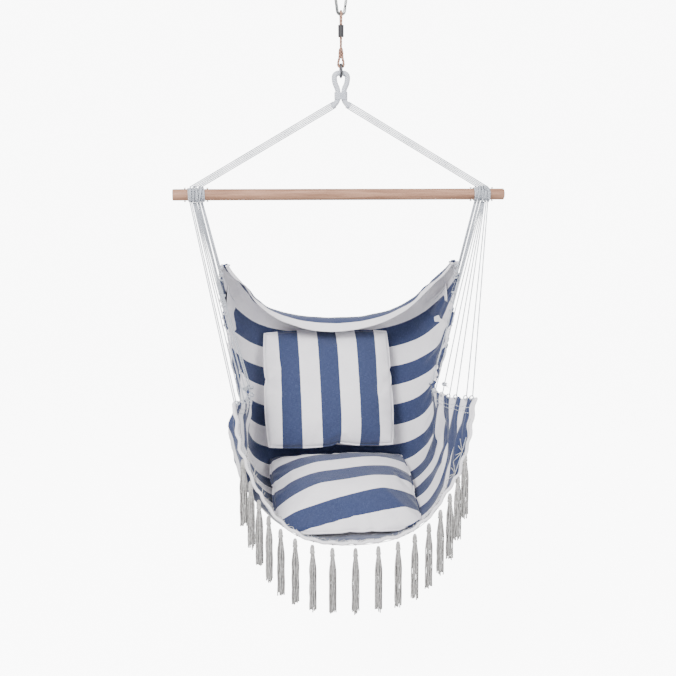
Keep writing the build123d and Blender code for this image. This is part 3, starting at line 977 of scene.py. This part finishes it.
def make_pocket():
    """A plain panel behind the back, sewn down at its sides and foot and open at the top."""
    side_u = 0.86
    top_v, low_v = 0.02, 0.36
    us = steps(-side_u, side_u, 91)
    vs = steps(top_v, low_v, 51)
    rows = cloth_grid(us, vs)
    normals = grid_normals(rows)
    places = []
    for i, v in enumerate(vs):
        for j, u in enumerate(us):
            sewn = smooth(0, 0.10, 1 - abs(u) / side_u)
            sewn *= smooth(0, 0.18, (low_v - v) / (low_v - top_v))
            ripple = noise.noise(Vector((u * 6, v * 14, 4.0)))
            ripple += 0.5 * noise.noise(Vector((u * 17, v * 31, 9.0)))
            lift = 0.0055 + 0.0075 * sewn + 0.0022 * ripple * sewn
            rows[i][j] += normals[i][j] * lift
        places.append([(u * 0.36, v * 1.2) for u in us])
    hems = stitches(rows, [(2.2, j) for j in range(1, 90)])
    hems += stitches(rows, [(i, 1.2) for i in range(1, 50)])
    hems += stitches(rows, [(i, 88.8) for i in range(1, 50)])
    hems += stitches(rows, [(48.8, j) for j in range(1, 90)])
    thread = tubes_object("pocket_stitching", hems, WHITE_CORD, sides=5)
    belongs(thread, "seat", "plain_cotton")
    pocket = grid_object("back_pocket_sheet", rows, places, PLAIN_CLOTH, 0.0014)
    belongs(pocket, "seat", "plain_cotton", "back_pocket")


make_pocket()


# ---- ties, knots and netting


def ring_route(centre, axis, radius, turns, rise, per_turn=14):
    """Turns round an axis, as a short helix."""
    one = axis.orthogonal().normalized()
    two = axis.cross(one)
    route = []
    for i in range(turns * per_turn + 1):
        angle = 2 * math.pi * i / per_turn
        along = rise * (i / (turns * per_turn) - 0.5)
        route.append(centre + round_at(one, two, angle) * radius + axis * along)
    return route


KNOT_HEIGHT = 0.026         # of the arm knots above the cloth's edge


def make_edge_ties():
    """Each cord goes twice round the rolled side hem."""
    for name, side in SIDES:
        tubes = []
        for v in CORD_ENDS_V + tuple(v for _, v in BETWEEN_CORDS):
            step = 0.01
            low, high = max(v - step, 0.0), min(v + step, 1.0)
            axis = (cloth_point(side, high) - cloth_point(side, low)).normalized()
            centre = cloth_point(side, v) + cloth_normal(side, v) * SIDE_ROLL
            tubes.append((ring_route(centre, axis, 0.0058, 2, 0.0046), 0.0016))
        ties = tubes_object("edge_ties_" + name, tubes, WHITE_CORD)
        belongs(ties, "seat", "white_cord")


def make_arm_knots():
    """An overhand knot on one cord at each arm, with a frayed tail."""
    for name, side in SIDES:
        start, end = seat_cord_ends(side, 5)
        pull = (start - end).normalized()
        centre = end + pull * KNOT_HEIGHT
        one = pull.orthogonal().normalized()
        two = pull.cross(one)
        route = []
        for i in range(61):
            t = 2 * math.pi * i / 60
            r = 0.0043 + 0.0020 * math.cos(3 * t)
            rise = pull * 0.0042 * math.sin(3 * t)
            route.append(centre + round_at(one, two, 2 * t) * r + rise)
        tubes = [(route, 0.0021)]
        aim = (one * 0.6 + pull * 0.2).normalized()
        tubes += frayed_end(centre + one * 0.004, aim, 0.020, 11, 60 + side)
        knot = tubes_object("arm_knot_tied_" + name, tubes, WHITE_CORD)
        belongs(knot, "seat", "white_cord", "arm_knot_" + name)


TASSEL_US = steps(-0.8, 0.8, TASSELS)
TASSEL_WIDEST = 0.014       # radius
TASSEL_LENGTH = 0.196
TASSEL_YARNS = 17
GOLDEN_ANGLE = 2.39996


def tassel_radius(k):
    """As wide as the gap to the nearer neighbour allows."""
    here = fringe_point(TASSEL_US[k])
    gaps = []
    for other in (k - 1, k + 1):
        if 0 <= other < TASSELS:
            gaps.append((fringe_point(TASSEL_US[other]) - here).length)
    return min(TASSEL_WIDEST, 0.42 * min(gaps))


def tassel_top(k):
    drop = FRINGE_DROP + FRINGE_CORD_RADIUS + 0.001 + 0.5 * tassel_radius(k)
    return fringe_point(TASSEL_US[k], drop)


def make_netting():
    """A row of thin V's between the hem and the netting cord, with a bead of cord at each foot."""
    tubes = []
    half = (TASSEL_US[1] - TASSEL_US[0]) / 2
    for k, u in enumerate(TASSEL_US):
        foot = fringe_point(u)
        for way in (-1, 1):
            for share in (0.42, 0.98):
                head = fringe_point(min(max(u + way * half * share, -0.97), 0.97), -0.003)
                knee = head.lerp(foot, 0.55) + Vector((0, -0.0006, 0.0006 * way))
                tubes.append(([head, knee, foot], 0.0010))
        tubes.append((ring_route(foot, Vector((1, 0, 0)), 0.0017, 2, 0.0028, 8), 0.0009))
    netting = tubes_object("fringe_netting", tubes, YARN, sides=6)
    belongs(netting, "seat", "tassel_yarn")


def make_tassel(k):
    """A bound head over a skirt of loose wavy yarns, inside the radius that its CAD body has."""
    rng = random.Random(100 + k)
    radius = tassel_radius(k)
    top = tassel_top(k)
    tubes = []
    head = [top + Vector((0, 0, z)) for z in (-0.0005, -0.004, -0.009, -0.015, -0.020, -0.025)]
    tubes.append((head, [radius * f for f in (0.26, 0.38, 0.47, 0.50, 0.46, 0.42)]))
    neck = top + Vector((0, 0, -0.0225))
    tubes.append((ring_route(neck, Vector((0, 0, 1)), radius * 0.47, 3, 0.0050, 12), 0.0012))
    strand = max(0.0012, radius * 0.135)
    for n in range(TASSEL_YARNS):
        share = math.sqrt((n + 0.35) / TASSEL_YARNS)
        angle = n * GOLDEN_ANGLE + rng.uniform(-0.25, 0.25)
        wide = (radius - strand) * 0.95 * share
        sway = rng.uniform(0, 2 * math.pi)
        pitch = rng.uniform(0.045, 0.075)
        far = TASSEL_LENGTH - rng.uniform(0.0, 0.016)
        route = []
        for i in range(21):
            t = i / 20
            z = -0.0215 - (far - 0.0215) * t
            spread = (0.42 + 0.58 * smooth(-0.04, 0.34, t)) * wide
            wobble = 0.0013 * smooth(0.05, 0.4, t) * math.sin(2 * math.pi * z / pitch + sway)
            x = math.cos(angle) * spread + wobble * math.sin(angle)
            y = math.sin(angle) * spread - wobble * math.cos(angle)
            route.append(top + Vector((x, y, z)))
        tubes.append((route, [strand * (0.8 + 0.2 * smooth(0, 0.2, i / 20)) for i in range(21)]))
    number = "%02d" % (k + 1)
    tassel = tubes_object("tassel_yarns_" + number, tubes, YARN, sides=7)
    belongs(tassel, "tassel_" + number + "_body", "tassel_yarn", "tassel_" + number)


make_edge_ties()
make_arm_knots()
make_netting()
for tassel_index in range(TASSELS):
    make_tassel(tassel_index)


# ---- cushions
SEAT_CUSHION_SIZE = (0.440, 0.404, 0.092)
BACK_CUSHION_SIZE = (0.410, 0.386, 0.089)
SEAT_TILT = math.radians(14)
BACK_TILT = math.radians(27)
CORNER_PULL = 0.30
PRESSURE = 4.0
CUSHION_CLEARANCE = 0.0045
MOST_MOVE = 0.050           # of any point in the simulation
SIM_FRAMES = 20
PIPING_RADIUS = 0.0026
CALMED = 0.5                # share of the plain crowned form mixed into the simulated one


def cushion_place(origin, up):
    """The frame of a cushion: x across, z out of its top face."""
    z = Vector(up).normalized()
    x = Vector((1, 0, 0))
    y = z.cross(x)
    turn = Matrix((x, y, z)).transposed().to_4x4()
    return Matrix.Translation(origin) @ turn


def pillow_mesh(name, size, cells):
    """Two flat sheets joined round their edge."""
    wide, deep, _ = size
    nx, ny = cells
    verts = []
    index = {}
    for level in (1, -1):
        for j in range(ny + 1):
            for i in range(nx + 1):
                a = 2 * i / nx - 1
                b = 2 * j / ny - 1
                rim = i in (0, nx) or j in (0, ny)
                if rim and level < 0:
                    index[i, j, level] = index[i, j, 1]
                    continue
                index[i, j, level] = len(verts)
                x = a * math.sqrt(1 - CORNER_PULL * b * b / 2) * wide / 2
                y = b * math.sqrt(1 - CORNER_PULL * a * a / 2) * deep / 2
                z = 0.0 if rim else level * 0.004
                verts.append(Vector((x, y, z)))
    faces = []
    for level in (1, -1):
        for j in range(ny):
            for i in range(nx):
                quad = [index[i, j, level], index[i + 1, j, level],
                        index[i + 1, j + 1, level], index[i, j + 1, level]]
                faces.append(tuple(quad if level > 0 else reversed(quad)))
    ring = [(i, 0) for i in range(nx)] + [(nx, j) for j in range(ny)]
    ring += [(i, ny) for i in range(nx, 0, -1)] + [(0, j) for j in range(ny, 0, -1)]
    border = [index[i, j, 1] for i, j in ring]
    obj = mesh_object(name, verts, faces, CUSHION_CLOTH)
    return obj, border


def inflate(obj):
    """Blows the pillow up with cloth pressure and keeps the result as its mesh."""
    cloth = obj.modifiers.new("inflate", "CLOTH")
    cloth.settings.quality = 6
    cloth.settings.mass = 0.25
    cloth.settings.tension_stiffness = 22
    cloth.settings.compression_stiffness = 22
    cloth.settings.shear_stiffness = 12
    cloth.settings.bending_stiffness = 0.6
    cloth.settings.air_damping = 3
    cloth.settings.use_pressure = True
    cloth.settings.uniform_pressure_force = PRESSURE
    cloth.settings.effector_weights.gravity = 0
    cloth.collision_settings.use_self_collision = False
    cloth.point_cache.frame_start = 1
    cloth.point_cache.frame_end = SIM_FRAMES
    scene = bpy.context.scene
    for step in range(1, SIM_FRAMES + 1):
        scene.frame_set(step)
    settled = obj.evaluated_get(bpy.context.evaluated_depsgraph_get())
    places = [v.co.copy() for v in settled.data.vertices]
    obj.modifiers.remove(cloth)
    scene.frame_set(1)
    for vert, place in zip(obj.data.vertices, places):
        move = place - vert.co
        if move.length > MOST_MOVE:
            move = move.normalized() * MOST_MOVE
        vert.co = vert.co + move


def shares(co, size):
    """How far a point lies from the middle towards each side seam, from -1 to 1."""
    return co.x / (size[0] / 2), co.y / (size[1] / 2)


def crowned(co, size):
    """Where a point of the flat pillow lies on a plain crowned form with drawn-in sides."""
    a, b = shares(co, size)
    crown = max(0.0, (1 - abs(a) ** 3.2) * (1 - abs(b) ** 3.2)) ** 0.5
    z = math.copysign(crown * size[2] / 2, co.z) if abs(co.z) > 1e-6 else 0.0
    return Vector((co.x * (1 - 0.045 * (1 - b * b)), co.y * (1 - 0.045 * (1 - a * a)), z))


def crease(obj, size, seed):
    """Small folds that start at the seam and die out towards the middle."""
    for vert in obj.data.vertices:
        a, b = shares(vert.co, size)
        rim = smooth(0.62, 0.97, max(abs(a), abs(b)))
        around = math.atan2(b, a)
        fold = noise.noise(Vector((math.cos(around) * 9, math.sin(around) * 9, seed)))
        soft = noise.noise(Vector((a * 2.2, b * 2.2, seed + 3.0)))
        level = 1 if vert.co.z > 0 else -1
        if abs(vert.co.z) > 0.002:
            vert.co.z += level * (0.0065 * rim * fold + 0.0030 * soft)


def fit_to_size(obj, size):
    """Scales the pillow to the size that its CAD body has, less the seam's half."""
    for axis, want in enumerate(size):
        reach = max(abs(v.co[axis]) for v in obj.data.vertices)
        for vert in obj.data.vertices:
            vert.co[axis] *= (want / 2 - 0.002) / reach


def settle(obj, size, drop, forward):
    """The seam sinks towards the side that the cushion rests on, which goes flat."""
    for vert in obj.data.vertices:
        front = smooth(0.0, 1.0, -shares(vert.co, size)[1])
        vert.co.y -= forward * front
        rim = smooth(0.30, 1.0, max(abs(share) for share in shares(vert.co, size)))
        sink = drop * (0.25 + 0.75 * smooth(-0.3, 0.8, front))
        vert.co.z = max(vert.co.z - sink * rim, 0.001 - size[2] / 2)


def stay_inside(obj):
    """Points of a cushion that would pass through the hammock cloth rest on it instead."""
    for vert in obj.data.vertices:
        near, index, _ = CLOTH_TREE.find(vert.co)
        normal = CLOTH_NORMALS[index]
        beyond = (vert.co - near).dot(normal) + CUSHION_CLEARANCE
        if beyond > 0:
            vert.co -= normal * beyond


def make_cushion(name, size, cells, place, marks, body, seed, drop, forward):
    """One pillow and its piping; marks gives a point's place on the striped cloth."""
    obj, border = pillow_mesh(name, size, cells)
    rest = [marks(v.co) for v in obj.data.vertices]
    calm = [crowned(v.co, size) for v in obj.data.vertices]
    inflate(obj)
    fit_to_size(obj, size)
    for vert, form in zip(obj.data.vertices, calm):
        vert.co = vert.co.lerp(form, CALMED)
    crease(obj, size, seed)
    fit_to_size(obj, size)
    settle(obj, size, drop, forward)
    set_uv(obj, rest)
    obj.data.transform(place)
    stay_inside(obj)
    line = [obj.data.vertices[k].co.copy() for k in border]
    line.append(line[0])
    seam_marks = [rest[k] for k in border] + [rest[border[0]]]
    sides = 8
    seam = tubes_object(name + "_piping", [(line, PIPING_RADIUS)], CUSHION_CLOTH, sides)
    set_uv(seam, [m for m in seam_marks for _ in range(sides)])
    obj.data.update()
    finer = obj.modifiers.new("finer", "SUBSURF")
    finer.levels = finer.render_levels = 1
    belongs(obj, body, "striped_cotton", body + "_cover", body + "_filling")
    belongs(seam, body, "striped_cotton")


SEAT_PLACE = cushion_place((0, -0.055 + SEAT_SHIFT_Y, -1.478),
                           (0, -math.sin(SEAT_TILT), math.cos(SEAT_TILT)))
BACK_PLACE = cushion_place((-0.024, 0.140 + SEAT_SHIFT_Y, -1.217),
                           (0, -math.cos(BACK_TILT), math.sin(BACK_TILT)))
SEAT_STRIPE_START = 0.164
SEAT_STRIPE_SLANT = 0.20
BACK_STRIPE_START = STRIPE / 2


def seat_marks(co):
    return co.x, co.y + SEAT_STRIPE_START - co.x * SEAT_STRIPE_SLANT


def back_marks(co):
    return co.y, co.x + BACK_STRIPE_START


make_cushion("seat_pillow", SEAT_CUSHION_SIZE, (60, 56), SEAT_PLACE, seat_marks,
             "seat_cushion", seed=2.0, drop=0.040, forward=0.014)
make_cushion("back_pillow", BACK_CUSHION_SIZE, (58, 54), BACK_PLACE, back_marks,
             "back_cushion", seed=7.0, drop=0.012, forward=0.0)

# ---- hard parts
paint_node("spreader_bar", BEECH)
for steel_node in ("carabiner_body", "carabiner_gate", "gate_spring"):
    paint_node(steel_node, ZINC)
for dark_node in ("gate_pin", "link_ring", "stop_pins"):
    paint_node(dark_node, DARK_STEEL)
paint_node("strop_sleeve", SLEEVE_BLACK)

# ---- floor, backdrop and light
FLOOR_Z = -2.15
ROOM_RADIUS = 11.0
COVE_RADIUS = 3.0
WALL_TOP = 9.0
STAGE_GLOW = 8.0


def make_stage():
    """One pale sheet: a round floor that curves up into a wall all round."""
    s = Shader("pale_studio")
    s.colour(s.mix(s.noise(s.coordinates(), 3.0), (0.86, 0.86, 0.87), (0.90, 0.90, 0.905)))
    s.feed(s.bsdf.inputs["Emission Color"], (1.0, 1.0, 1.0))
    s.feed(s.bsdf.inputs["Emission Strength"], STAGE_GLOW)
    material = s.finish(0.9)
    flat = ROOM_RADIUS - COVE_RADIUS
    profile = [(flat * i / 6 + 0.001, FLOOR_Z) for i in range(6)]
    for i in range(13):
        angle = math.pi / 2 * i / 12
        z = FLOOR_Z + COVE_RADIUS * (1 - math.cos(angle))
        profile.append((flat + COVE_RADIUS * math.sin(angle), z))
    profile.append((ROOM_RADIUS, WALL_TOP))
    around = 96
    verts = []
    for radius, z in profile:
        for k in range(around):
            angle = 2 * math.pi * k / around
            verts.append((radius * math.cos(angle), radius * math.sin(angle), z))
    room = mesh_object("studio_room", verts, ring_faces(len(profile), around), material)
    room.visible_diffuse = False
    room.visible_glossy = False


def area_light(name, place, target, size, power):
    data = bpy.data.lights.new(name, "AREA")
    data.shape = "SQUARE"
    data.size = size
    data.energy = power
    light = bpy.data.objects.new(name, data)
    bpy.context.collection.objects.link(light)
    light.location = place
    light.rotation_euler = (Vector(target) - Vector(place)).to_track_quat("-Z", "Y").to_euler()


def make_light():
    world = bpy.data.worlds.new("world")
    world.use_nodes = True
    background = world.node_tree.nodes["Background"]
    background.inputs["Color"].default_value = (1.0, 1.0, 1.0, 1.0)
    background.inputs["Strength"].default_value = 1.35
    bpy.context.scene.world = world
    area_light("key", (-1.9, -3.0, 1.4), (0, 0, -1.1), 1.6, 260)
    area_light("fill", (2.6, -2.6, 0.2), (0, 0, -1.2), 2.2, 70)
    area_light("back", (0.6, 3.4, 1.0), (0, 0, -1.0), 2.4, 60)


make_stage()
make_light()

bpy.context.view_layer.update()
